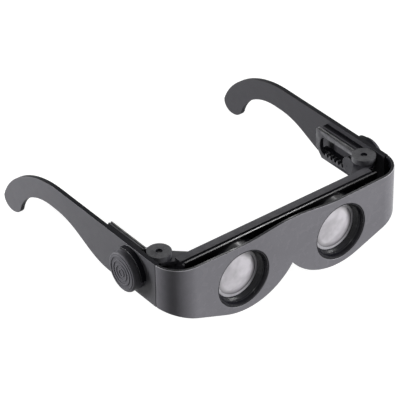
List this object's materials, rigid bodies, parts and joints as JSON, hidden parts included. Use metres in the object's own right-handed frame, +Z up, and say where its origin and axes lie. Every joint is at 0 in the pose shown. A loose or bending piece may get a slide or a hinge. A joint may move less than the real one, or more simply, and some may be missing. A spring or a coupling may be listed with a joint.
{
  "type": "binocular glasses",
  "caption": "Head-worn binocular glasses: wrap-round front with two lens barrels, arms that fold on pins and slide on geared racks, moved by round side knobs.",
  "frame": {"origin": "on the flat front face, midway between the two optical axes", "axes": "+X right as seen from the front, +Y back to the ears, +Z up"},
  "size_m": [0.1734, 0.1561, 0.0451],
  "materials": {
    "shell_plastic": "satin",
    "arm_plastic": "satin",
    "frame_plastic": "satin",
    "slide_plastic": "satin",
    "knob_plastic": "matte",
    "inner_plastic": "gloss",
    "lens": "polished",
    "lens_ring": "gloss",
    "soft_rubber": "matte",
    "steel": "satin"
  },
  "bodies": {
    "front": {"front_shell": "shell_plastic", "lens_carrier": "inner_plastic", "objective_barrel_left": "inner_plastic", "objective_barrel_right": "inner_plastic", "objective_lens_left": "lens", "objective_lens_right": "lens", "objective_ring_left": "lens_ring", "objective_ring_right": "lens_ring", "eye_frame": "frame_plastic", "eyepiece_lens_left": "lens", "eyepiece_lens_right": "lens", "eyepiece_ring_left": "inner_plastic", "eyepiece_ring_right": "inner_plastic", "nose_pad_left": "soft_rubber", "nose_pad_right": "soft_rubber", "frame_screws": "steel"},
    "slide_left": {"rack_slide_left": "slide_plastic", "hinge_pin_left": "steel"},
    "arm_left": {"temple_left": "arm_plastic"},
    "knob_left": {"pinion_left": "inner_plastic", "pinion_cap_left": "slide_plastic", "focus_knob_left": "knob_plastic", "knob_washer_left": "soft_rubber"},
    "slide_right": {"rack_slide_right": "slide_plastic", "hinge_pin_right": "steel"},
    "arm_right": {"temple_right": "arm_plastic"},
    "knob_right": {"pinion_right": "inner_plastic", "pinion_cap_right": "slide_plastic", "focus_knob_right": "knob_plastic", "knob_washer_right": "soft_rubber"}
  },
  "joints": [
    {"name": "fold_left", "type": "hinge", "parent": "front", "child": "slide_left", "pos_m": [-0.0703, 0.0242, 0.012], "axis": [0, 0, -1], "range_deg": [0, 90]},
    {"name": "extend_left", "type": "slide", "parent": "slide_left", "child": "arm_left", "axis": [0, 1, 0], "range_m": [0, 0.008]},
    {"name": "focus_left", "type": "hinge", "parent": "arm_left", "child": "knob_left", "pos_m": [-0.08, 0.0359, 0.0082], "axis": [1, 0, 0], "range_deg": [-115, 0]},
    {"name": "fold_right", "type": "hinge", "parent": "front", "child": "slide_right", "pos_m": [0.0703, 0.0242, 0.012], "axis": [0, 0, 1], "range_deg": [0, 36]},
    {"name": "extend_right", "type": "slide", "parent": "slide_right", "child": "arm_right", "axis": [0, 1, 0], "range_m": [0, 0.008]},
    {"name": "focus_right", "type": "hinge", "parent": "arm_right", "child": "knob_right", "pos_m": [0.08, 0.0359, 0.0082], "axis": [1, 0, 0], "range_deg": [-115, 0]}
  ],
  "couplings": [
    {"joint": "focus_left", "follows": "extend_left", "rad_per_m": -250},
    {"joint": "focus_right", "follows": "extend_right", "rad_per_m": -250}
  ]
}
